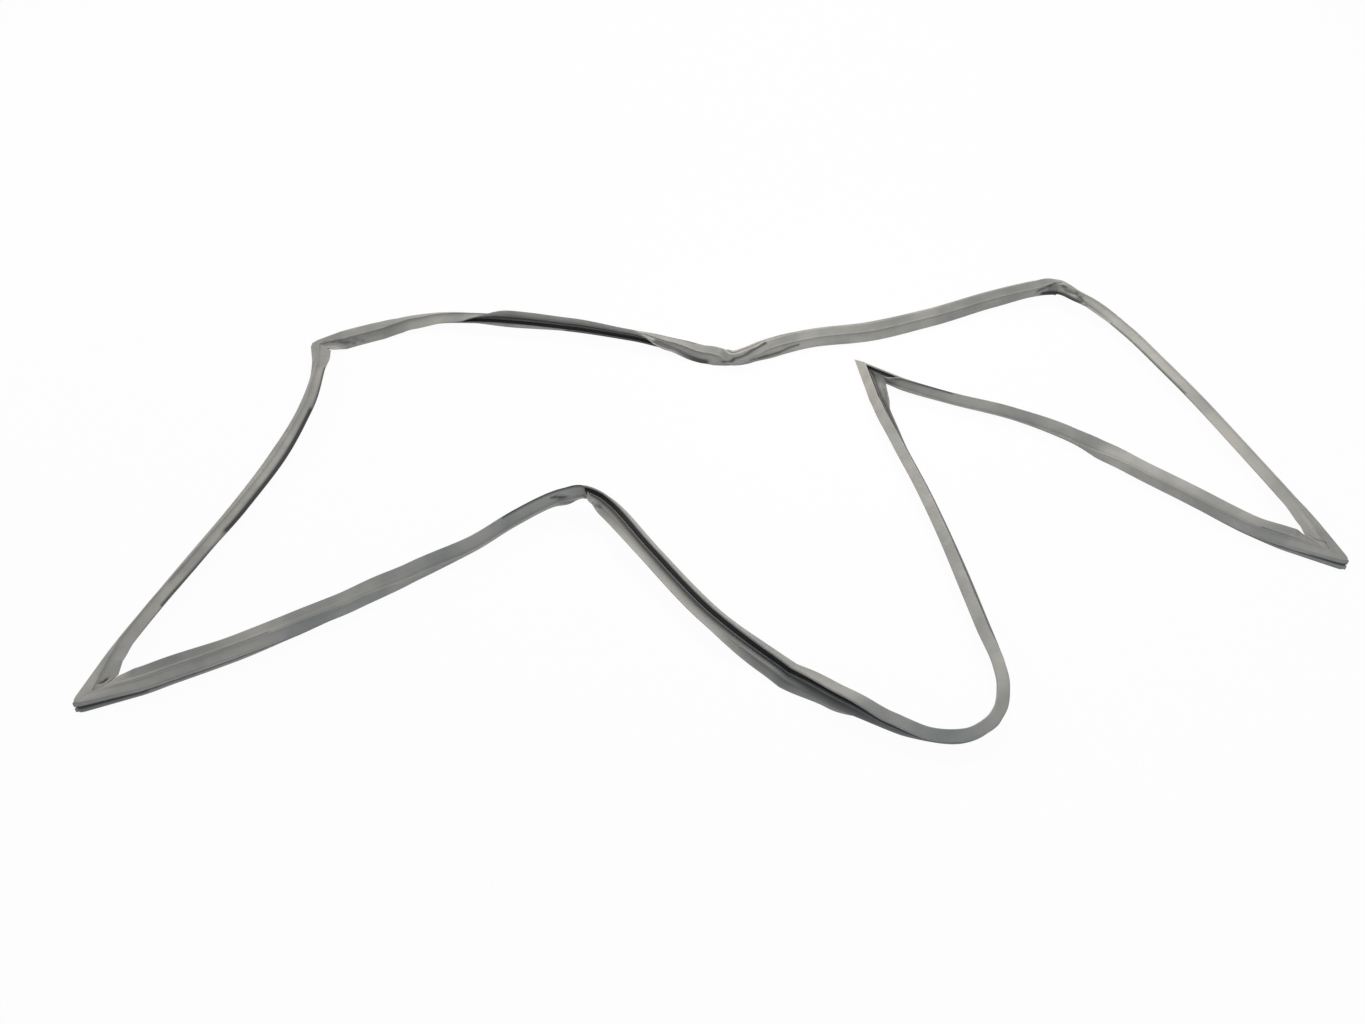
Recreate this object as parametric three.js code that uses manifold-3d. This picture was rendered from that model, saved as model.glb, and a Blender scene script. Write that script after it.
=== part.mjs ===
// Magnetic door gasket of an upright refrigerator, lying loose on a flat surface.
// One soft PVC profile, extruded, cut to four lengths and welded at four corners,
// with four flexible magnetic strips slid into its pocket. Millimetres, +Z up.
// The origin lies on the surface under the middle of the gasket's outline.

import * as THREE from 'three';
import { mergeVertices } from 'three/addons/utils/BufferGeometryUtils.js';
import Module from 'manifold-3d';

// Section of the profile: u runs to the inner side of the door frame, v to the sealing face
const POCKET_WIDTH = 11;
const POCKET_HEIGHT = 6;
const POCKET_WALL = 1.1;
const FACE_ROUND = 0.9;
const WEB_LENGTH = 5;
const LIP_LENGTH = 8.5;
const LIP_THICKNESS = 1.5;
const NECK_WIDTH = 4.6;
const NECK_HEIGHT = 4.4;
const FLANGE_WIDTH = 11.6;
const FLANGE_THICKNESS = 2.4;
const FLANGE_RIM = 5.2;
const RIM_WIDTH = 2.6;
const FLANGE_OVERHANG = 1;
const CUT = 0.5;

// Room round the magnetic strips in the pocket
const STRIP_CLEARANCE = 0.3;

// Openings left at the inner side of each welded corner: [from, to] in u, [from, to] in v, length.
// The vent leads out of the pocket under the web; the gap is where the two lips meet.
const VENT = { u: [3.2, 7.4], v: [1.6, 3.6], length: 5 };
const LIP_GAP = { u: [12.4, 14.4], v: [-3, 9], length: 3.6 };

// The web and the lip stand at these angles at rest; a fold turns each by its own share,
// down toward the flange where the fold is negative and over the pocket where it is positive
const WEB_REST = -28;
const LIP_REST = 10;
const WEB_SHARE = { down: 0.5, over: 1.2 };
const LIP_SHARE = { down: 1.2, over: 1.6 };

// Spacing of the cross sections along the route: millimetres, degrees of turn, degrees of roll.
// The first and the last stretch of a side, next to its welds, are each laid in one step.
const STATION_STEP = 46;
const TURN_STEP = 12;
const ROLL_STEP = 18;

// Route of the gasket as it lies: x, y, roll about the route, fold of the lip, height above the floor.
// Roll 0 has the sealing face up and the inner side to the right of the direction of travel.
const ROUTE = {
  short_left: [
    [-613, -350, 0, 0, 0], [-603, -304, 30, -30, 0], [-598, -279, 44, -46, 0], [-585, -232, 48, -46, 0], [-565, -165, 38, -40, 0],
    [-543, -91, 30, -36, 0], [-524, -11, 26, -34, 0], [-511, 75, 38, -32, 0], [-511, 147, 56, -44, 0],
    [-516, 184, 32, -34, 0], [-526, 214, 6, -20, 0],
  ],
  long_back: [
    [-526, 214, 6, -20, 0], [-497, 232, -34, -22, 0], [-464, 251, -30, -18, 0], [-415, 272, 8, -40, 0],
    [-364, 280, 24, -40, 0], [-285, 270, 50, 16, 0], [-207, 258, 34, 22, 0], [-129, 239, 24, 20, 0],
    [-78, 222, 0, -10, 0], [-42, 206, -26, -18, 0], [-20, 196, -40, -20, 0], [-4, 183, -72, -56, 0],
    [21, 194, -64, -40, 0], [46, 213, -58, -6, 0], [98, 233, -54, -24, 0], [176, 251, -56, -4, 0],
    [257, 282, -50, -22, 0], [342, 320, -50, -32, 2], [398, 337, -50, -46, 6], [436, 346, -8, -46, 8],
    [453, 322, 22, -52, 8], [475, 302, 30, -56, 4], [503, 250, 36, -50, 0], [528, 171, 42, -50, 0],
    [549, 98, 44, -50, 0], [571, 9, 42, -50, 0], [590, -72, 40, -46, 0], [600, -118, 18, -22, 0],
    [609, -166, 0, 0, 0],
  ],
  short_right: [
    [609, -166, 0, 0, 0], [567, -145, 12, -10, 0], [532, -122, 48, -40, 0], [484, -74, 60, -44, 0],
    [434, -22, 70, -54, 0], [382, 36, 122, -46, 0], [322, 77, 134, -50, 0], [256, 106, 136, -50, 0],
    [200, 136, 126, -30, 0], [160, 166, 134, 0, 0],
  ],
  long_front: [
    [160, 166, 134, 0, 0], [165, 118, 139, 26, 0], [169, 75, 144, 56, 0], [182, 6, 150, 95, 0], [195, -56, 151, 95, 0],
    [208, -131, 150, 98, 0], [217, -202, 151, 90, 0], [225, -267, 153, 90, 0], [231, -311, 163, 95, 0],
    [229, -339, 178, 95, 0], [220, -365, 191, 95, 0], [205, -381, 205, 95, 0], [185, -391, 212, 95, 0],
    [156, -390, 216, 95, 0], [122, -375, 206, 95, 0], [72, -344, 156, 84, 0], [21, -299, 142, 24, 0],
    [-34, -243, 133, 20, 0], [-95, -158, 130, 20, 2], [-138, -95, 128, 34, 6], [-155, -81, 126, 20, 10],
    [-173, -75, 124, -40, 12], [-189, -81, 112, -54, 10], [-205, -84, 118, -46, 8], [-245, -109, 118, -54, 2],
    [-283, -144, 118, -54, 0], [-338, -185, 96, -40, 0], [-389, -228, 62, -44, 0], [-440, -263, 40, -26, 0],
    [-490, -293, 22, -18, 0], [-539, -319, 6, 0, 0], [-566, -333, 0, 0, 0], [-613, -350, 0, 0, 0],
  ],
};
const SIDES = Object.keys(ROUTE);

// Heights and edges that several outlines share
const wasm = await Module();
wasm.setup();
const pocketEdge = POCKET_WIDTH / 2;
const flangeTop = -NECK_HEIGHT;
const flangeBottom = flangeTop - FLANGE_THICKNESS;
const flangeOuter = -pocketEdge - FLANGE_OVERHANG;
const flangeInner = flangeOuter + FLANGE_WIDTH;
const neckOuter = -pocketEdge + RIM_WIDTH - FLANGE_OVERHANG + CUT;
const neckInner = neckOuter + NECK_WIDTH;

function along(degrees) {
  const angle = THREE.MathUtils.degToRad(degrees);
  return new THREE.Vector2(Math.cos(angle), Math.sin(angle));
}

// The web and lip leave the inner top edge of the pocket as one bent flap of even thickness
function lipOutline(fold) {
  const way = fold < 0 ? 'down' : 'over';
  const web = along(WEB_REST + WEB_SHARE[way] * fold);
  const lip = along(LIP_REST + LIP_SHARE[way] * fold);
  const bend = web.clone().add(lip).normalize();
  const across = (direction, reach) => new THREE.Vector2(-direction.y, direction.x).multiplyScalar(reach);
  const half = LIP_THICKNESS / 2;
  const root = new THREE.Vector2(pocketEdge - CUT, POCKET_HEIGHT - half - CUT);
  const elbow = root.clone().addScaledVector(web, WEB_LENGTH);
  const tip = elbow.clone().addScaledVector(lip, LIP_LENGTH - half);
  const lean = Math.max(0, web.y);
  return {
    rise: new THREE.Vector2(pocketEdge - lean * LIP_THICKNESS, POCKET_HEIGHT - (1 - lean) * CUT),
    under: [elbow.clone().sub(across(bend, half)), tip.clone().sub(across(lip, half))],
    end: [tip.clone().addScaledVector(lip, half)],
    over: [tip.clone().add(across(lip, half)), elbow.clone().add(across(bend, half))],
  };
}

// Outline of the whole profile, counterclockwise in u and v
function profileOutline(fold) {
  const flap = lipOutline(fold);
  const rimTop = flangeBottom + FLANGE_RIM;
  const points = [
    [flangeOuter + CUT, flangeBottom], [flangeInner - CUT, flangeBottom],
    [flangeInner, flangeBottom + CUT], [flangeInner, flangeTop - CUT],
    [neckInner + CUT, flangeTop + CUT], [neckInner, flangeTop / 2],
    [neckInner + CUT, -CUT], [pocketEdge - FACE_ROUND, 0],
    [pocketEdge, FACE_ROUND], [pocketEdge, POCKET_HEIGHT / 2 - CUT],
    ...[...flap.under, ...flap.end, ...flap.over].map((p) => [p.x, p.y]),
    [flap.rise.x, flap.rise.y], [flap.rise.x - FACE_ROUND, POCKET_HEIGHT],
    [FACE_ROUND - pocketEdge, POCKET_HEIGHT], [-pocketEdge, POCKET_HEIGHT - FACE_ROUND],
    [-pocketEdge, FACE_ROUND], [FACE_ROUND - pocketEdge, 0],
    [neckOuter, -CUT], [neckOuter, rimTop - CUT],
    [flangeOuter + RIM_WIDTH - CUT, rimTop], [flangeOuter + CUT, rimTop],
    [flangeOuter, rimTop - CUT], [flangeOuter, flangeBottom + CUT],
  ];
  return points.map(([u, v]) => new THREE.Vector2(u, v));
}

// A rectangle centred in the pocket, smaller than the pocket by the given margin on every side
function pocketOutline(margin) {
  const halfWidth = pocketEdge - margin;
  const low = margin;
  const high = POCKET_HEIGHT - margin;
  const corners = [[-halfWidth, low], [halfWidth, low], [halfWidth, high], [-halfWidth, high]];
  return corners.map(([u, v]) => new THREE.Vector2(u, v));
}

// Cross sections along one side: place, heading, roll and fold, closer together where it turns or rolls
function sideStations(points) {
  const curve = new THREE.CatmullRomCurve3(points.map(([x, y, , , lift]) => new THREE.Vector3(x, y, lift)));
  const spans = points.length - 1;
  const stations = [];
  for (let span = 0; span < spans; span += 1) {
    const [from, to] = [points[span], points[span + 1]];
    const start = curve.getTangent(span / spans);
    const end = curve.getTangent((span + 1) / spans);
    const length = Math.hypot(to[0] - from[0], to[1] - from[1]);
    const beside = span === 0 || span === spans - 1;
    const steps = beside ? 1 : Math.ceil(Math.max(
      length / STATION_STEP,
      THREE.MathUtils.radToDeg(start.angleTo(end)) / TURN_STEP,
      Math.abs(to[2] - from[2]) / ROLL_STEP,
      Math.abs(to[3] - from[3]) / (2 * ROLL_STEP),
    ));
    const last = span === spans - 1 ? steps : steps - 1;
    for (let step = 0; step <= last; step += 1) {
      const share = step / steps;
      const ease = THREE.MathUtils.smoothstep(share, 0, 1);
      const t = (span + share) / spans;
      const heading = curve.getTangent(t).setZ(0).normalize();
      const place = curve.getPoint(t);
      stations.push({
        place: place.setZ(Math.max(0, place.z)),
        inward: new THREE.Vector3(heading.y, -heading.x, 0),
        roll: THREE.MathUtils.lerp(from[2], to[2], ease),
        fold: THREE.MathUtils.lerp(from[3], to[3], ease),
      });
    }
  }
  return stations;
}

// A point of the section in the upright plane across the route: x to the right of travel, y up
function rolled(point, roll) {
  return point.clone().rotateAround(new THREE.Vector2(0, 0), THREE.MathUtils.degToRad(roll));
}

// The lowest point of each rolled section rests at the route's height above the floor
function settle(station) {
  const heights = profileOutline(station.fold).map((point) => rolled(point, station.roll).y);
  station.place.z -= Math.min(...heights);
  return station;
}

// Two sides meet in the plane that halves the angle between them, as a mitre does
function mitre(before, after) {
  const inward = before.inward.clone().add(after.inward);
  inward.divideScalar(1 + before.inward.dot(after.inward));
  return { ...after, place: after.place.clone(), inward };
}

function layRoute() {
  const sides = SIDES.map((name) => sideStations(ROUTE[name]).map(settle));
  return sides.map((stations, index) => {
    const before = sides[(index + sides.length - 1) % sides.length];
    const after = sides[(index + 1) % sides.length];
    const first = mitre(before[before.length - 1], stations[0]);
    const last = mitre(stations[stations.length - 1], after[0]);
    return [first, ...stations.slice(1, -1), last];
  });
}

function sectionPoint(station, point) {
  const { x, y } = rolled(point, station.roll);
  return station.place.clone().addScaledVector(station.inward, x).add(new THREE.Vector3(0, 0, y));
}

// A skin over a row of equal rings, closed on itself or by a flat cap at each end
function loft(rings, closed) {
  const count = rings[0].length;
  const positions = rings.flat().flatMap((p) => [p.x, p.y, p.z]);
  const faces = [];
  const spans = closed ? rings.length : rings.length - 1;
  for (let i = 0; i < spans; i += 1) {
    const here = i * count;
    const next = ((i + 1) % rings.length) * count;
    for (let j = 0; j < count; j += 1) {
      const k = (j + 1) % count;
      faces.push(here + j, next + j, next + k, here + j, next + k, here + k);
    }
  }
  if (!closed) {
    const end = (rings.length - 1) * count;
    for (let j = 1; j < count - 1; j += 1) {
      faces.push(0, j, j + 1);
      faces.push(end, end + j + 1, end + j);
    }
  }
  const geometry = new THREE.BufferGeometry();
  geometry.setAttribute('position', new THREE.Float32BufferAttribute(positions, 3));
  geometry.setIndex(faces);
  return geometry;
}

function toSolid(source) {
  const bare = source.clone();
  bare.deleteAttribute('normal');
  bare.deleteAttribute('uv');
  const merged = mergeVertices(bare);
  const vertProperties = new Float32Array(merged.attributes.position.array);
  const triVerts = new Uint32Array(merged.index.array);
  return new wasm.Manifold(new wasm.Mesh({ numProp: 3, vertProperties, triVerts }));
}

function toGeometry(solid) {
  const mesh = solid.getMesh();
  const geometry = new THREE.BufferGeometry();
  geometry.setAttribute('position', new THREE.BufferAttribute(mesh.vertProperties, 3));
  geometry.setIndex(new THREE.BufferAttribute(mesh.triVerts, 1));
  geometry.computeVertexNormals();
  return geometry;
}

// A block across the mitre plane of a corner, for cutting
function cornerBlock(corner, { u, v, length }) {
  const outline = [[u[0], v[0]], [u[1], v[0]], [u[1], v[1]], [u[0], v[1]]];
  const travel = new THREE.Vector3(-corner.inward.y, corner.inward.x, 0).setLength(length / 2);
  const ring = outline.map(([a, b]) => sectionPoint(corner, new THREE.Vector2(a, b)));
  const before = ring.map((point) => point.clone().sub(travel));
  const after = ring.map((point) => point.clone().add(travel));
  return toSolid(loft([before, after], false));
}

function gasketProfile(sides) {
  const stations = sides.flatMap((side) => side.slice(0, -1));
  const skin = (outline) => loft(stations.map((s) => outline(s).map((p) => sectionPoint(s, p))), true);
  const body = toSolid(skin((s) => profileOutline(s.fold)));
  const pocket = toSolid(skin(() => pocketOutline(POCKET_WALL)));
  const cuts = sides.flatMap(([corner]) => [cornerBlock(corner, VENT), cornerBlock(corner, LIP_GAP)]);
  const open = cuts.reduce((solid, cut) => solid.subtract(cut), body.subtract(pocket));
  return toGeometry(open);
}

// One strip runs in the pocket of one side, without the two stretches that are welded
function magneticStrip(stations) {
  const outline = pocketOutline(POCKET_WALL + STRIP_CLEARANCE);
  const free = stations.slice(1, -1);
  return loft(free.map((station) => outline.map((point) => sectionPoint(station, point))), false);
}

const pvc = new THREE.MeshStandardMaterial({ color: 0x9a9a94, roughness: 0.55, metalness: 0 });
const ferrite = new THREE.MeshStandardMaterial({ color: 0x3a3028, roughness: 0.8, metalness: 0 });

function piece(name, geometry, material) {
  const mesh = new THREE.Mesh(geometry, material);
  mesh.name = name;
  return mesh;
}

// All pieces move together so that the origin comes under the middle of the profile
function centred(meshes) {
  const middle = new THREE.Box3().setFromObject(meshes[0]).getCenter(new THREE.Vector3());
  meshes.forEach((mesh) => mesh.geometry.translate(-middle.x, -middle.y, 0));
  return meshes;
}

const gasket = new THREE.Group();
const sides = layRoute();
const strips = sides.map((side, index) => piece(`magnet_strip_${SIDES[index]}`, magneticStrip(side), ferrite));
gasket.add(...centred([piece('gasket_profile', gasketProfile(sides), pvc), ...strips]));

export default gasket;
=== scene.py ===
"""Looks of the refrigerator door gasket: one welded loop of soft profile, lying loose on a pale floor."""
import math

import bpy
import numpy as np
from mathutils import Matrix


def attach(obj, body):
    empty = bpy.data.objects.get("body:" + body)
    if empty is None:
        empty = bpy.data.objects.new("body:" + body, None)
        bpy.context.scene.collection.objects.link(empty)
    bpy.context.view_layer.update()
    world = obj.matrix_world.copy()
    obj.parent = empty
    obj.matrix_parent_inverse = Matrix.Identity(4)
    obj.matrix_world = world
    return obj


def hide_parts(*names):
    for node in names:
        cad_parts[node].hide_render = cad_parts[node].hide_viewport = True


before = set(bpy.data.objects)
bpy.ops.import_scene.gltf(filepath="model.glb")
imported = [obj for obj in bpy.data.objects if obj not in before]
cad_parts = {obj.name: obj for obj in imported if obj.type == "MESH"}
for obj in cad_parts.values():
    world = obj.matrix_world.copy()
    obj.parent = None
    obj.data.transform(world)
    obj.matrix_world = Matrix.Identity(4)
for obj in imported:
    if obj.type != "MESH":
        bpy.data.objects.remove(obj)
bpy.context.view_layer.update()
MM = 0.001

# Section of the profile in millimetres: u runs to the inner side of the door frame, v to the sealing face
POCKET_WIDTH = 11
POCKET_HEIGHT = 6
WEB_LENGTH = 5
LIP_LENGTH = 8.5
LIP_THICKNESS = 1.5
NECK_WIDTH = 4.6
NECK_HEIGHT = 4.4
FLANGE_WIDTH = 11.6
FLANGE_THICKNESS = 2.4
FLANGE_RIM = 5.2
RIM_WIDTH = 2.6
FLANGE_OVERHANG = 1
CUT = 0.5
BEAD_HEIGHT = 0.7
BEAD_WIDTH = 2.2
BEAD_INSET = 0.2
GROOVE_DEPTH = 0.25
LIP_TIP_SHARE = 0.62

# Extra points on the long straight edges, where creases may be pressed in
FACE_STOP = -2.6
FLANGE_STOPS = (-2.6, 1.2)

# A rounded corner takes at most this share of an edge
EDGE_SHARE = 0.46

# The web and the lip at rest, and the share of a fold that each takes, in degrees
WEB_REST = -28
LIP_REST = 10
WEB_SHARE = {"down": 0.5, "over": 1.2}
LIP_SHARE = {"down": 1.2, "over": 1.6}

# Length of profile from ring to ring, on long even spans of the route and on short crushed ones
EVEN_STEP = 5.4
CLOSE_STEP = 2.4
LONG_SPAN = 60
CORNER_CROWDING = 1.6

# A welded corner: its tip is rounded back, and the two lips end short of the weld
TIP_PULL = 2.0
TIP_REACH = 5.0
LIP_STUB = 0.35
LIP_GAP = 2.4
WELD_HEIGHT = 0.3
WELD_WIDTH = 0.8
PULL_LIMIT = 1.2

# How much faster than its depth a crease takes its painted shade
CREASE_DARKENING = 1.6

# Where the route's own origin lies in the part's frame
ROUTE_ORIGIN = (2.0248, 22.8568)

# The route as it lies: x, y, roll, fold of the lip, height above the floor. Roll 0 has the sealing face up.
ROUTE = {
    "short_left": [
        (-613, -350, 0, 0, 0), (-603, -304, 30, -30, 0), (-598, -279, 44, -46, 0), (-585, -232, 48, -46, 0),
        (-565, -165, 38, -40, 0), (-543, -91, 30, -36, 0), (-524, -11, 26, -34, 0), (-511, 75, 38, -32, 0),
        (-511, 147, 56, -44, 0), (-516, 184, 32, -34, 0), (-526, 214, 6, -20, 0),
    ],
    "long_back": [
        (-526, 214, 6, -20, 0), (-497, 232, -34, -22, 0), (-464, 251, -30, -18, 0), (-415, 272, 8, -40, 0),
        (-364, 280, 24, -40, 0), (-285, 270, 50, 16, 0), (-207, 258, 34, 22, 0), (-129, 239, 24, 20, 0),
        (-78, 222, 0, -10, 0), (-42, 206, -26, -18, 0), (-20, 196, -40, -20, 0), (-4, 183, -72, -56, 0),
        (21, 194, -64, -40, 0), (46, 213, -58, -6, 0), (98, 233, -54, -24, 0), (176, 251, -56, -4, 0),
        (257, 282, -50, -22, 0), (342, 320, -50, -32, 2), (398, 337, -50, -46, 6), (436, 346, -8, -46, 8),
        (453, 322, 22, -52, 8), (475, 302, 30, -56, 4), (503, 250, 36, -50, 0), (528, 171, 42, -50, 0),
        (549, 98, 44, -50, 0), (571, 9, 42, -50, 0), (590, -72, 40, -46, 0), (600, -118, 18, -22, 0),
        (609, -166, 0, 0, 0),
    ],
    "short_right": [
        (609, -166, 0, 0, 0), (567, -145, 28, -10, 0), (532, -122, 48, -40, 0), (484, -74, 60, -44, 0),
        (434, -22, 70, -54, 0), (382, 36, 122, -46, 0), (322, 77, 134, -50, 0), (256, 106, 136, -50, 0),
        (200, 136, 126, -30, 0), (160, 166, 134, 0, 0),
    ],
    "long_front": [
        (160, 166, 134, 0, 0), (165, 118, 139, 48, 0), (169, 75, 144, 72, 0), (182, 6, 150, 95, 0),
        (195, -56, 151, 95, 0), (208, -131, 150, 98, 0), (217, -202, 151, 90, 0), (225, -267, 153, 90, 0),
        (231, -311, 163, 95, 0), (229, -339, 178, 95, 0), (220, -365, 191, 95, 0), (205, -381, 205, 95, 0),
        (185, -391, 212, 95, 0), (156, -390, 216, 95, 0), (122, -375, 198, 92, 0), (72, -344, 172, 62, 0),
        (21, -299, 146, 34, 0), (-34, -243, 133, 20, 0), (-95, -158, 130, 20, 2), (-138, -95, 128, 34, 6),
        (-155, -81, 126, 20, 10), (-173, -75, 124, -40, 12), (-189, -81, 112, -54, 10),
        (-205, -84, 118, -46, 8),
        (-245, -109, 118, -54, 2), (-283, -144, 118, -54, 0), (-338, -185, 96, -40, 0),
        (-389, -228, 62, -44, 0),
        (-440, -263, 40, -26, 0), (-490, -293, 26, -18, 0), (-539, -319, 24, 0, 0), (-566, -333, 20, 0, 0),
        (-613, -350, 0, 0, 0),
    ],
}

# Creases, gaps and pits that bending has left, each pressed in and darkened with painted shade where shade
# would fall in it: side, then distance along it and round the section at one end and the other, half width
# and depth in millimetres, and how much painted shade the crease takes. Those along the lip's edge and the
# flange's inner side are dark bands of painted shade, pressed in little or not at all.
CREASES = [
    ("short_left", 120, 42.8, 230, 44.5, 1.5, 0.3, 1.0),
    ("short_left", 230, 44.8, 440, 44.8, 3.0, 0.3, 1.0),
    ("short_left", 440, 44.5, 515, 42.8, 1.8, 0.3, 1.0),
    ("short_left", 0, 54.6, 150, 54.6, 0.8, 0.2, 0.6),
    ("short_left", 150, 54.6, 525, 53.4, 0.9, 0.3, 0.95),
    ("short_left", 17, 51.5, 20, 50.5, 1.5, 1.6, 1.0),
    ("long_back", 14, 60, 36, 50, 1.4, 0.9, 0.5),
    ("long_back", 26, 58, 46, 47, 1.4, 0.9, 0.5),
    ("long_back", 41, 56, 60, 45, 1.4, 0.8, 0.4),
    ("long_back", 200, 42.8, 440, 42.8, 0.7, 0.2, 0.85),
    ("long_back", 330, 10.5, 500, 11, 3.2, 0.0, 1.0),
    ("long_back", 190, 66.5, 500, 66.5, 0.9, 0.1, 0.65),
    ("long_back", 434, 43.5, 448, 45.5, 1.8, 0.2, 0.6),
    ("long_back", 450, 50, 521, 44, 3.7, 0.3, 0.92),
    ("long_back", 545, 49, 557, 62, 1.5, 0.7, 0.85),
    ("long_back", 557, 62, 602, 66, 1.5, 0.7, 0.85),
    ("long_back", 578, 49, 604, 46, 1.5, 0.6, 0.85),
    ("long_back", 604, 46, 650, 50, 1.4, 0.6, 0.8),
    ("long_back", 993, 51, 1030, 62, 1.5, 1.1, 0.8),
    ("long_back", 1000, 45.2, 1078, 44, 3.2, 0.8, 1.0),
    ("long_back", 1010, 51, 1042, 51, 3.6, 0.5, 0.4),
    ("long_back", 1036, 58, 1048, 51, 2.2, 1.0, 0.8),
    ("long_back", 1048, 51, 1060, 54, 2.2, 1.0, 0.8),
    ("long_back", 1060, 54, 1076, 46, 2.2, 1.0, 0.8),
    ("long_back", 1078, 46, 1130, 45, 1.6, 0.6, 0.6),
    ("long_back", 1130, 43, 1290, 43, 1.2, 0.2, 0.9),
    ("long_back", 1548, 44, 1553, 56, 0.8, 0.8, 0.7),
    ("short_right", 0, 54.8, 80, 54.8, 0.9, 0.3, 0.85),
    ("short_right", 0, 73.6, 36, 73.6, 1.0, 0.2, 0.9),
    ("short_right", 452, 42.6, 545, 46, 1.7, 0.4, 1.0),
    ("long_front", 1430, 54.8, 1590, 54.8, 0.9, 0.3, 0.85),
    ("long_front", 1536, 73.6, 1590, 73.6, 1.0, 0.2, 0.95),
    ("long_front", 1548, 78.5, 1590, 78.5, 3.4, 0.0, 0.55),
    ("long_front", 1170, 42.8, 1064, 42.8, 1.1, 0.3, 1.0),
    ("long_front", 1113, 49, 1092, 54, 1.2, 1.6, 0.8),
    ("long_front", 1101, 59, 1086, 66, 1.3, 1.6, 0.6),
    ("long_front", 1066, 42, 1069, 70, 1.3, 2.2, 0.5),
    ("long_front", 1053, 41, 1040, 36, 1.2, 1.2, 0.6),
]

# Edges that several outlines share
POCKET_EDGE = POCKET_WIDTH / 2
FLANGE_TOP = -NECK_HEIGHT
FLANGE_BOTTOM = FLANGE_TOP - FLANGE_THICKNESS
FLANGE_OUTER = -POCKET_EDGE - FLANGE_OVERHANG
FLANGE_INNER = FLANGE_OUTER + FLANGE_WIDTH
NECK_OUTER = -POCKET_EDGE + RIM_WIDTH - FLANGE_OVERHANG + CUT
NECK_INNER = NECK_OUTER + NECK_WIDTH
RIM_TOP = FLANGE_BOTTOM + FLANGE_RIM


def smooth(share):
    """3 t squared minus 2 t cubed, with t held between 0 and 1."""
    share = np.clip(share, 0, 1)
    return share * share * (3 - 2 * share)


# The profile's section

def directions(degrees):
    """A row of unit vectors (cos, sin) at the given angles."""
    angle = np.radians(degrees)
    return np.stack([np.cos(angle), np.sin(angle)], -1)


def left_of(vectors):
    """Each vector turned a quarter turn counterclockwise."""
    return np.stack([-vectors[..., 1], vectors[..., 0]], -1)


def corner_list(fold, lip_scale):
    """Corners of the section, counterclockwise: place (u, v) for each ring, radius, and depth of painted
    shade, darkest in the recesses round the neck and under the pocket's inner edge where shade falls.

    The web leaves the pocket's inner top edge at its rest angle plus its share of the fold, and the lip
    goes on from the web's end at its own; both are LIP_THICKNESS thick, with the bend mitred between them.
    """
    down = fold < 0
    web = directions(WEB_REST + np.where(down, WEB_SHARE["down"], WEB_SHARE["over"]) * fold)
    lip = directions(LIP_REST + np.where(down, LIP_SHARE["down"], LIP_SHARE["over"]) * fold)
    bend = left_of(web + lip)
    bend /= np.linalg.norm(bend, axis=-1, keepdims=True)
    side = left_of(lip)
    half = LIP_THICKNESS / 2
    root = np.array([POCKET_EDGE - CUT, POCKET_HEIGHT - half - CUT])
    elbow = root + WEB_LENGTH * web
    tip = elbow + (LIP_LENGTH * lip_scale)[:, None] * lip
    lean = np.clip(web[:, 1], 0, None)
    rise = np.stack([POCKET_EDGE - lean * LIP_THICKNESS, POCKET_HEIGHT - (1 - lean) * CUT], -1)
    bead_top = POCKET_HEIGHT + BEAD_HEIGHT * (1 - lean)
    bead_edge = rise[:, 0] - BEAD_INSET
    thin = LIP_TIP_SHARE * half
    # The third number is painted shade: near 1 in the recess round the neck and under the pocket's edge,
    # less under the lip, near 0 on the open faces
    return [
        ((FLANGE_OUTER, FLANGE_BOTTOM), 0.7, 0.1),
        ((FLANGE_STOPS[0], FLANGE_BOTTOM), 0.1, 0.1),
        ((FLANGE_STOPS[1], FLANGE_BOTTOM), 0.1, 0.1),
        ((FLANGE_INNER, FLANGE_BOTTOM), 0.9, 0.1),
        ((FLANGE_INNER, FLANGE_TOP), 0.8, 0.2),
        ((NECK_INNER, FLANGE_TOP), 0.7, 1.0),
        ((NECK_INNER, 0), 0.6, 1.0),
        ((POCKET_EDGE, 0), 0.9, 0.75),
        ((POCKET_EDGE, POCKET_HEIGHT / 2 - CUT), 0.5, 0.95),
        (elbow - half * bend, 1.2, 0.6),
        ((elbow + tip) / 2 - (half + thin) / 2 * side, 0.4, 0.3),
        (tip - thin * side, 0.35, 0.0),
        (tip + thin * side, 0.35, 0.0),
        ((elbow + tip) / 2 + (half + thin) / 2 * side, 0.4, 0.0),
        (elbow + half * bend, 1.2, 0.06),
        (rise - [0, GROOVE_DEPTH], 0.4, 0.3),
        ((bead_edge, bead_top), 0.55, 0.0),
        ((bead_edge - BEAD_WIDTH, POCKET_HEIGHT), 0.5, 0.05),
        ((0, POCKET_HEIGHT), 0.1, 0.0),
        ((FACE_STOP, POCKET_HEIGHT), 0.1, 0.0),
        ((-POCKET_EDGE, POCKET_HEIGHT), 1.0, 0.0),
        ((-POCKET_EDGE, POCKET_HEIGHT / 2), 0.1, 0.0),
        ((-POCKET_EDGE, 0), 0.9, 0.0),
        ((NECK_OUTER, 0), 0.4, 0.6),
        ((NECK_OUTER, RIM_TOP), 0.4, 0.6),
        ((FLANGE_OUTER, RIM_TOP), 0.9, 0.05),
    ]


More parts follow.
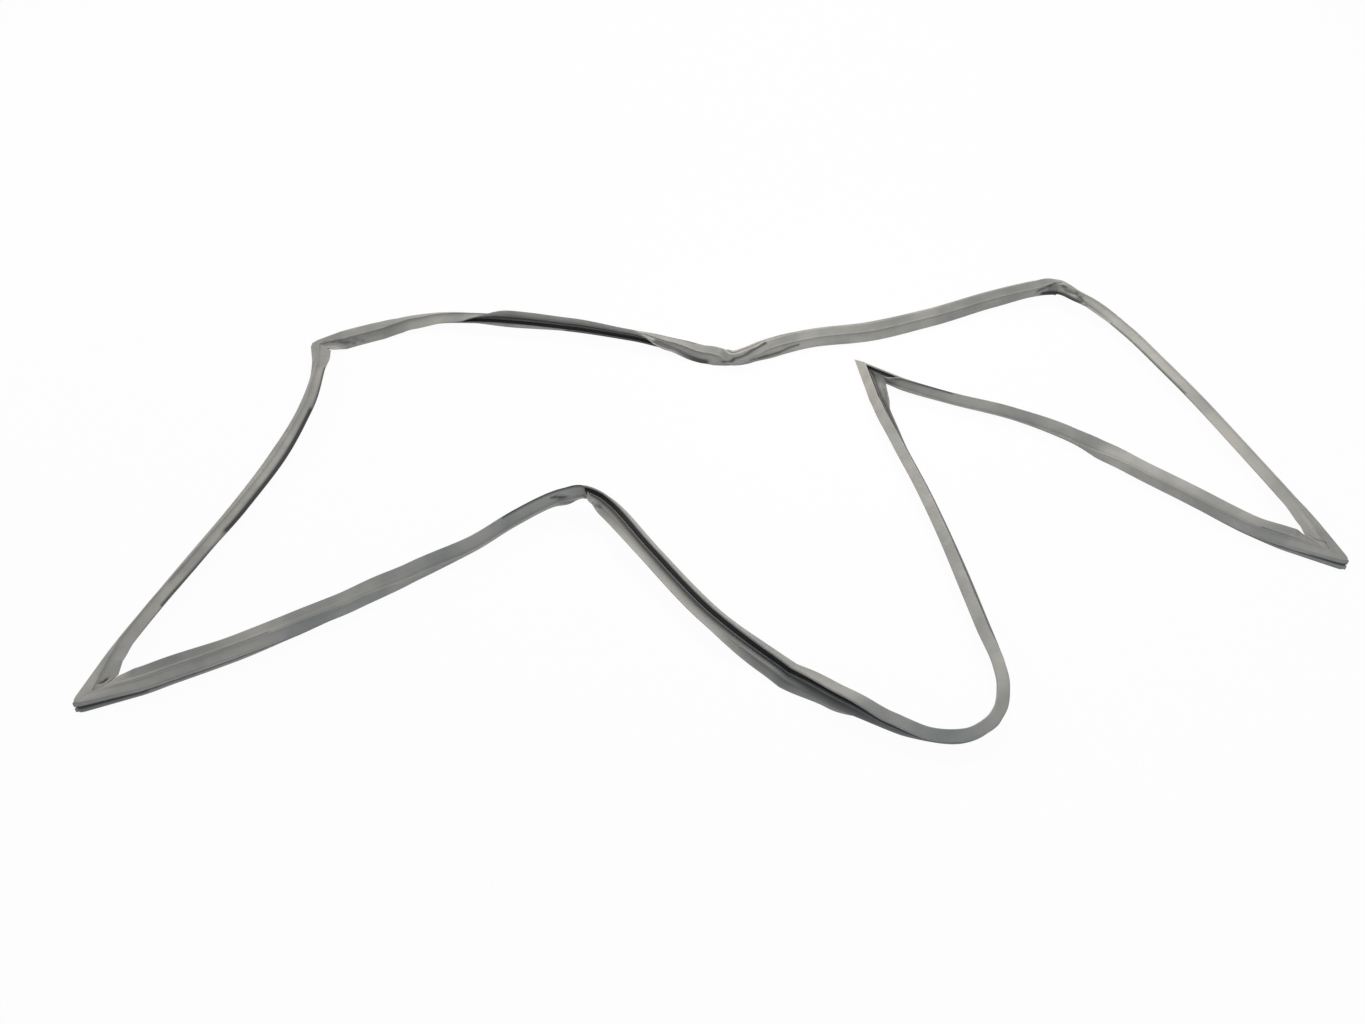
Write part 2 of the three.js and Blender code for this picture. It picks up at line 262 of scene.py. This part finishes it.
def section(fold, lip_scale):
    """Outlines (ring, point, 2) with each corner rounded, and the painted shade of each point.

    A corner P is replaced by three points of the curve (1-t)^2 A + 2t(1-t) P + t^2 B, with A and B on its
    two edges at the radius from P, or at under half of a short edge.
    """
    corners = corner_list(fold, lip_scale)
    places = np.zeros((len(fold), len(corners), 2))
    for index, (place, _, _) in enumerate(corners):
        if isinstance(place, tuple):
            places[:, index, 0], places[:, index, 1] = place
        else:
            places[:, index] = place
    radii = np.array([radius for _, radius, _ in corners])[None, :, None]
    shades = np.array([shade for _, _, shade in corners])
    before = np.roll(places, 1, 1) - places
    after = np.roll(places, -1, 1) - places
    ends = []
    for edge in (before, after):
        length = np.linalg.norm(edge, axis=-1, keepdims=True) + 1e-9
        ends.append(places + edge / length * np.minimum(radii, EDGE_SHARE * length))
    middle = 0.25 * ends[0] + 0.5 * places + 0.25 * ends[1]
    outline = np.stack([ends[0], middle, ends[1]], 2).reshape(len(fold), -1, 2)
    return outline, np.repeat(shades, 3)


# The route

def spline(points, at):
    """Centripetal spline through the points: one cubic per span, fitted to chord lengths' square roots."""
    ends = np.vstack([2 * points[0] - points[1], points, 2 * points[-1] - points[-2]])
    span = np.clip(at.astype(int), 0, len(points) - 2)
    share = (at - span)[:, None]
    p0, p1, p2, p3 = (ends[span + k] for k in range(4))
    pairs = ((p0, p1), (p1, p2), (p2, p3))
    d0, d1, d2 = (np.sqrt(np.linalg.norm(b - a, axis=1, keepdims=True)) for a, b in pairs)
    t1 = ((p1 - p0) / d0 - (p2 - p0) / (d0 + d1) + (p2 - p1) / d1) * d1
    t2 = ((p2 - p1) / d1 - (p3 - p1) / (d1 + d2) + (p3 - p2) / d2) * d1
    c2 = -3 * p1 + 3 * p2 - 2 * t1 - t2
    c3 = 2 * p1 - 2 * p2 + t1 + t2
    place = p1 + share * (t1 + share * (c2 + share * c3))
    slope = t1 + share * (2 * c2 + 3 * share * c3)
    return place, slope


def side_rings(route):
    """Rings of one side: place, inward direction, roll, fold, and the distance along the side of each."""
    points = np.array([(x, y, lift) for x, y, _, _, lift in route], float)
    roll = np.array([entry[2] for entry in route], float)
    fold = np.array([entry[3] for entry in route], float)
    spans = np.linalg.norm(np.diff(points, axis=0), axis=1)
    counts = np.ceil(spans / np.where(spans > LONG_SPAN, EVEN_STEP, CLOSE_STEP)).astype(int)
    at = np.concatenate([k + np.arange(n) / n for k, n in enumerate(counts)] + [[len(spans)]])
    place, slope = spline(points, at)
    place[:, 2] = np.clip(place[:, 2], 0, None)
    heading = slope[:, :2] / np.linalg.norm(slope[:, :2], axis=1, keepdims=True)
    inward = np.stack([heading[:, 1], -heading[:, 0], 0 * heading[:, 0]], -1)
    span = np.clip(at.astype(int), 0, len(spans) - 1)
    ease = smooth(at - span)
    along = np.concatenate([[0], np.cumsum(spans)])
    return {
        "place": place,
        "inward": inward,
        "roll": roll[span] + (roll[span + 1] - roll[span]) * ease,
        "fold": fold[span] + (fold[span + 1] - fold[span]) * ease,
        "along": along[span] + spans[span] * (at - span),
        "counts": counts,
    }


def rolled(outline, roll):
    """Each outline turned by its ring's roll: across and up."""
    angle = np.radians(roll)[:, None]
    across = outline[..., 0] * np.cos(angle) - outline[..., 1] * np.sin(angle)
    up = outline[..., 0] * np.sin(angle) + outline[..., 1] * np.cos(angle)
    return across, up


def raised(rings, outline, inward):
    """Points place + inward * across + up of each ring, with its lowest point at the route's height."""
    across, up = rolled(outline, rings["roll"])
    points = rings["place"][:, None, :] + inward[:, None, :] * across[..., None]
    points[..., 2] += up - up.min(1, keepdims=True)
    return points, across


def lay_side(rings, first_inward, last_inward):
    """Points (ring, point, 3) of one side.

    The first and the last stretch run straight from the mitre's ring to the next ring of the route, with
    their rings crowded towards the weld. There the lip falls to a stub and the outer edge is drawn in, both
    by exp(-(distance / reach) squared).
    """
    inward = rings["inward"].copy()
    inward[0] = first_inward
    inward[-1] = last_inward
    outline, shades = section(rings["fold"], np.ones(len(inward)))
    stub_outline, _ = section(rings["fold"], np.full(len(inward), LIP_STUB))
    points, across = raised(rings, outline, inward)
    stub = raised(rings, stub_outline, inward)[0]
    counts, last = rings["counts"], len(points) - 1
    for corner, stop, step in ((0, counts[0], 1), (last, last - counts[-1], -1)):
        rows = np.arange(corner, stop + step, step)
        share = (np.linspace(0, 1, len(rows)) ** CORNER_CROWDING)[:, None, None]
        distance = share * np.linalg.norm(rings["place"][stop] - rings["place"][corner])
        full = points[corner] + (points[stop] - points[corner]) * share
        short = stub[corner] + (stub[stop] - stub[corner]) * share
        gap = np.exp(-(distance / LIP_GAP) ** 2)
        outer = np.clip(-across[corner] / POCKET_EDGE, 0, PULL_LIMIT)[None, :, None] ** 2
        pull = TIP_PULL * np.exp(-(distance / TIP_REACH) ** 2) * outer
        points[rows] = full + (short - full) * gap + pull * inward[corner]
    return points, shades


def mitre(before, after):
    """Direction across the corner in the plane that halves the angle between two sides."""
    return (before + after) / (1 + before @ after)


def outward(points):
    """Unit normals of the loop's skin: the cross product of the differences along and round it."""
    beside = np.roll(points, -1, 0) - np.roll(points, 1, 0)
    round_it = np.roll(points, -1, 1) - np.roll(points, 1, 1)
    normal = np.cross(beside, round_it)
    return normal / (np.linalg.norm(normal, axis=-1, keepdims=True) + 1e-9)


def crease_loop(points, along, starts, shades):
    """Presses each crease into the skin, darkens the points along it with painted shade, and raises each
    weld.

    Each adds depth * exp(-(distance from its line / half width) squared), distances along and round it.
    """
    edges = np.linalg.norm(np.roll(points, -1, 1) - points, axis=-1).mean(0)
    place = np.stack(np.broadcast_arrays(along[:, None], (np.cumsum(edges) - edges)[None, :]), -1)
    depth, dark = np.zeros(place.shape[:2]), np.broadcast_to(shades, place.shape[:2]).copy()
    for side, a0, r0, a1, r1, width, press, shade in CREASES:
        first = np.array([starts[side] + a0, r0])
        line = np.array([a1 - a0, r1 - r0])
        share = np.clip(((place - first) @ line) / (line @ line), 0, 1)
        away = np.linalg.norm(place - first - share[..., None] * line, axis=-1)
        near = np.exp(-(away / width) ** 2)
        depth += press * near
        # Painted shade along the crease
        dark = np.maximum(dark, np.clip(CREASE_DARKENING * near, 0, 1) * shade)
    for start in starts.values():
        depth -= WELD_HEIGHT * np.exp(-((along[:, None] - start) / WELD_WIDTH) ** 2)
    return points - outward(points) * depth[..., None], dark


def lay_loop():
    """All rings of the loop in order, the distance along it, and the painted shade of each point.

    Each side's last ring is left to the next side.
    """
    sides = [side_rings(route) for route in ROUTE.values()]
    loop, along, travelled, starts = [], [], 0.0, {}
    for index, rings in enumerate(sides):
        before, after = sides[index - 1], sides[(index + 1) % len(sides)]
        first = mitre(before["inward"][-1], rings["inward"][0])
        last = mitre(rings["inward"][-1], after["inward"][0])
        points, shades = lay_side(rings, first, last)
        starts[list(ROUTE)[index]] = travelled
        loop.append(points[:-1])
        along.append(travelled + rings["along"][:-1])
        travelled += rings["along"][-1]
    points, along = np.concatenate(loop), np.concatenate(along)
    points, dark = crease_loop(points, along, starts, shades)
    points[..., 2] = np.clip(points[..., 2], 0, None)
    return points, np.append(along, travelled), dark


def loop_mesh(name, points, along, shades):
    """A skin over the closed row of rings, with the distances along and around the profile as its UV map."""
    rings, count = points.shape[:2]
    here = np.arange(rings)[:, None] * count
    after = (np.arange(rings)[:, None] + 1) % rings * count
    this = np.arange(count)[None, :]
    that = (this + 1) % count
    faces = np.stack([here + this, after + this, after + that, here + that], -1).reshape(-1, 4)
    mesh = bpy.data.meshes.new(name)
    mesh.from_pydata(points.reshape(-1, 3), [], faces)
    edges = np.linalg.norm(np.roll(points, -1, 1) - points, axis=-1).mean(0)
    around = np.concatenate([[0], np.cumsum(edges)])
    low, high = along[:-1, None] * MM + 0 * this, along[1:, None] * MM + 0 * this
    near, far = around[this] + 0 * here, around[this + 1] + 0 * here
    uv = np.stack([low, near, high, near, high, far, low, far], -1).reshape(-1)
    mesh.uv_layers.new(name="UVMap").data.foreach_set("uv", uv.astype(np.float32))
    # Painted shade per point: how far the colour goes towards near black in the recesses and creases where
    # shade falls
    shade = mesh.attributes.new("shade", "FLOAT", "POINT")
    shade.data.foreach_set("value", shades.reshape(-1).astype(np.float32))
    mesh.polygons.foreach_set("use_smooth", np.ones(len(faces), bool))
    mesh.validate()
    return mesh


# Shader maths

class Value:
    """A shader socket that adds its own Math nodes when it is used in an expression."""

    def __init__(self, maker, socket):
        self.maker = maker
        self.socket = socket

    def _with(self, operation, first, second):
        return self.maker.node("ShaderNodeMath", {"operation": operation}, {0: first, 1: second})

    def __add__(self, other):
        return self._with("ADD", self, other)

    def __sub__(self, other):
        return self._with("SUBTRACT", self, other)

    def __mul__(self, other):
        return self._with("MULTIPLY", self, other)

    def __rsub__(self, other):
        return self._with("SUBTRACT", other, self)

    def __pow__(self, other):
        return self._with("POWER", self, other)

    __radd__ = __add__
    __rmul__ = __mul__


class Maker:
    """Builds one material's nodes."""

    def __init__(self, name):
        self.material = bpy.data.materials.new(name)
        self.material.use_nodes = True
        self.tree = self.material.node_tree
        self.tree.nodes.clear()

    def node(self, kind, settings=None, sockets=None, output=0):
        """Adds a node, its settings, then its sockets' values or links, and gives one of its outputs."""
        made = self.tree.nodes.new(kind)
        for key, value in (settings or {}).items():
            if key == "stops":
                ramp = made.color_ramp
                while len(ramp.elements) < len(value):
                    ramp.elements.new(0.5)
                for element, (place, colour) in zip(ramp.elements, value):
                    element.position = place
                    element.color = (*colour, 1)
            else:
                setattr(made, key, value)
        for key, value in (sockets or {}).items():
            if isinstance(value, Value):
                self.tree.links.new(value.socket, made.inputs[key])
            else:
                made.inputs[key].default_value = value
        return Value(self, made.outputs[output])

    def noise(self, place, scale, detail=3, roughness=0.5):
        sockets = {"Vector": place, "Scale": scale, "Detail": detail, "Roughness": roughness}
        return self.node("ShaderNodeTexNoise", {}, sockets)

    def between(self, value, low, high):
        """0 below low, 1 above high, smooth between them."""
        settings = {"interpolation_type": "SMOOTHSTEP"}
        return self.node("ShaderNodeMapRange", settings, {0: value, 1: low, 2: high})

    def mix(self, factor, first, second, blend="MIX"):
        settings = {"data_type": "RGBA", "blend_type": blend}
        return self.node("ShaderNodeMix", settings, {0: factor, 6: first, 7: second}, 2)

    def finish(self, surface):
        output = self.tree.nodes.new("ShaderNodeOutputMaterial")
        self.tree.links.new(surface.socket, output.inputs["Surface"])
        return self.material


def linear(red, green, blue):
    """A colour given in screen values 0 to 255, as the light values that a shader takes."""
    screen = np.array([red, green, blue]) / 255
    light = np.where(screen <= 0.04045, screen / 12.92, ((screen + 0.055) / 1.055) ** 2.4)
    return tuple(float(channel) for channel in light)


PVC_LIGHT = (*linear(176, 173, 165), 1)
PVC_DARK = (*linear(152, 151, 146), 1)
# Near black painted shade for the recesses, grooves and creases
PVC_SHADE = (*linear(34, 36, 38), 1)


def soft_pvc():
    """Satin grey PVC: clouds of two greys, fine extrusion lines along the profile, and painted shade in the
    grooves, recesses and creases.
    """
    make = Maker("soft_pvc_satin")
    place = make.node("ShaderNodeTexCoord", {}, {}, "Object")
    strip = make.node("ShaderNodeTexCoord", {}, {}, "UV")
    lines_at = make.node("ShaderNodeMapping", {}, {"Vector": strip, "Scale": (6, 2.6, 1)})
    clouds = make.noise(place, 22, 4, 0.55)
    lines = make.noise(lines_at, 1.6, 2, 0.6)
    grain = make.noise(place, 900, 2, 0.6)
    shade = make.node("ShaderNodeAttribute", {"attribute_name": "shade"}, {}, "Fac")
    tone = make.between(clouds * 0.7 + lines * 0.3, 0.36, 0.64)
    body = make.mix(tone, PVC_DARK, PVC_LIGHT)
    # Painted shade: the colour goes towards PVC_SHADE where the shade attribute marks recesses and creases
    colour = make.mix(shade ** 1.15 * 0.97, body, PVC_SHADE)
    height = lines * 0.88 + grain * 0.12
    bump = make.node("ShaderNodeBump", {}, {"Strength": 0.13, "Distance": 0.0004, "Height": height})
    rough = grain * 0.1 + clouds * 0.12 + 0.42
    surface = make.node("ShaderNodeBsdfPrincipled", {}, {
        "Base Color": colour, "Roughness": rough, "Normal": bump, "IOR": 1.5,
    })
    return make.finish(surface)


def flexible_ferrite():
    """Dark brown bonded ferrite: fine speckle and rolled lines."""
    make = Maker("flexible_ferrite")
    place = make.node("ShaderNodeTexCoord", {}, {}, "Object")
    speckle = make.noise(place, 1400, 3, 0.7)
    patches = make.noise(place, 40, 3, 0.5)
    tone = make.between(speckle * 0.6 + patches * 0.4, 0.35, 0.65)
    colour = make.mix(tone, (*linear(42, 35, 30), 1), (*linear(74, 64, 55), 1))
    bump = make.node("ShaderNodeBump", {}, {"Strength": 0.2, "Distance": 0.0002, "Height": speckle})
    rough = speckle * 0.2 + 0.62
    surface = make.node("ShaderNodeBsdfPrincipled", {}, {
        "Base Color": colour, "Roughness": rough, "Normal": bump,
    })
    return make.finish(surface)


def pale_floor():
    """A white floor that shows nearly white to the camera and keeps a soft shadow."""
    make = Maker("pale_floor")
    seen = make.node("ShaderNodeLightPath", {}, {}, "Is Camera Ray")
    glossy = make.node("ShaderNodeLightPath", {}, {}, "Is Glossy Ray")
    through = make.node("ShaderNodeLightPath", {}, {}, "Is Transmission Ray")
    place = make.node("ShaderNodeTexCoord", {}, {}, "Object")
    clouds = make.noise(place, 3, 2, 0.5)
    white = make.mix(clouds, (0.78, 0.78, 0.78, 1), (0.8, 0.8, 0.8, 1))
    paper = make.node("ShaderNodeBsdfDiffuse", {}, {"Color": white})
    bright = make.node("ShaderNodeEmission", {}, {"Color": (1, 1, 1, 1), "Strength": 1.0})
    factor = (seen + glossy + through) * FLOOR_WHITE
    surface = make.node("ShaderNodeMixShader", {}, {0: factor, 1: paper, 2: bright})
    return make.finish(surface)


# The studio

# The camera as solved from the photograph: height above the floor, tilt, and focal length in image widths
CAMERA_PLACE = (-65, -1040, 875)
CAMERA_PITCH = 42.5
FOCAL_PIXELS = 1200
IMAGE_WIDTH = 1365
SENSOR_WIDTH = 36
FARTHEST = 50

# Lamps: name, place, what each aims at, width, power, colour
LAMPS = [
    ("key", (0.35, 1.6, 1.9), (0, 0.1, 0), 1.2, 33, (1.0, 0.97, 0.93)),
    ("left", (-1.9, 0.9, 1.2), (-0.4, 0, 0), 1.0, 10, (1.0, 0.98, 0.95)),
    ("fill", (0.45, -1.5, 0.75), (0.05, -0.3, 0), 0.9, 4.5, (0.66, 0.84, 1.0)),
    ("top", (0.12, 0.1, 0.5), (0.2, 0.33, 0), 0.35, 1.2, (1.0, 0.98, 0.95)),
]
SKY_COLOUR = (0.93, 0.95, 1.0, 1)
SKY_STRENGTH = 0.28

# The floor: half its width, its height just under the gasket, and its share of plain white
FLOOR_HALF = 7.0
FLOOR_HEIGHT = -0.0002
FLOOR_WHITE = 0.965

# Weight of the larger faces in the skin's normals
FACE_WEIGHT = 50


def set_camera():
    data = bpy.data.cameras.new("camera")
    data.sensor_fit = "HORIZONTAL"
    data.sensor_width = SENSOR_WIDTH
    data.lens = FOCAL_PIXELS * SENSOR_WIDTH / IMAGE_WIDTH
    data.clip_end = FARTHEST
    camera = bpy.data.objects.new("camera", data)
    bpy.context.collection.objects.link(camera)
    x, y, z = CAMERA_PLACE
    camera.location = ((x + ROUTE_ORIGIN[0]) * MM, (y + ROUTE_ORIGIN[1]) * MM, z * MM)
    camera.rotation_euler = (math.radians(90 - CAMERA_PITCH), 0, 0)
    bpy.context.scene.camera = camera


def area_lamp(name, place, aim, size, power, colour):
    data = bpy.data.lights.new(name, "AREA")
    data.shape = "DISK"
    data.size = size
    data.energy = power
    data.color = colour
    lamp = bpy.data.objects.new(name, data)
    lamp.visible_camera = False
    bpy.context.collection.objects.link(lamp)
    lamp.location = place
    away = np.array(place) - np.array(aim)
    away /= np.linalg.norm(away)
    lamp.rotation_euler = (math.acos(away[2]), 0, math.atan2(away[1], away[0]) + math.pi / 2)


def set_world():
    world = bpy.data.worlds.new("studio")
    bpy.context.scene.world = world
    world.use_nodes = True
    tree = world.node_tree
    tree.nodes.clear()
    soft = tree.nodes.new("ShaderNodeBackground")
    soft.inputs["Color"].default_value = SKY_COLOUR
    soft.inputs["Strength"].default_value = SKY_STRENGTH
    white = tree.nodes.new("ShaderNodeBackground")
    white.inputs["Color"].default_value = (1, 1, 1, 1)
    path = tree.nodes.new("ShaderNodeLightPath")
    choose = tree.nodes.new("ShaderNodeMixShader")
    output = tree.nodes.new("ShaderNodeOutputWorld")
    tree.links.new(path.outputs["Is Camera Ray"], choose.inputs[0])
    tree.links.new(soft.outputs[0], choose.inputs[1])
    tree.links.new(white.outputs[0], choose.inputs[2])
    tree.links.new(choose.outputs[0], output.inputs["Surface"])


def set_floor():
    mesh = bpy.data.meshes.new("floor")
    signs = [(-1, -1), (1, -1), (1, 1), (-1, 1)]
    corners = [(x * FLOOR_HALF, y * FLOOR_HALF, FLOOR_HEIGHT) for x, y in signs]
    mesh.from_pydata(corners, [], [(0, 1, 2, 3)])
    mesh.materials.append(pale_floor())
    floor = bpy.data.objects.new("floor", mesh)
    bpy.context.collection.objects.link(floor)


def dress_gasket():
    points, along, shades = lay_loop()
    points[..., 0] += ROUTE_ORIGIN[0]
    points[..., 1] += ROUTE_ORIGIN[1]
    mesh = loop_mesh("soft_profile", points * MM, along, shades)
    mesh.materials.append(soft_pvc())
    profile = bpy.data.objects.new("soft_profile", mesh)
    bpy.context.collection.objects.link(profile)
    even = profile.modifiers.new("even_faces", "WEIGHTED_NORMAL")
    even.weight = FACE_WEIGHT
    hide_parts("gasket_profile")
    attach(profile, "root")
    print("profile triangles", 2 * len(mesh.polygons))


def dress_strips():
    ferrite = flexible_ferrite()
    for name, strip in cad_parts.items():
        if name.startswith("magnet_strip"):
            strip.data.materials.clear()
            strip.data.materials.append(ferrite)


bpy.context.scene.view_settings.view_transform = "Standard"
set_camera()
set_world()
for lamp in LAMPS:
    area_lamp(*lamp)
set_floor()
dress_gasket()
dress_strips()
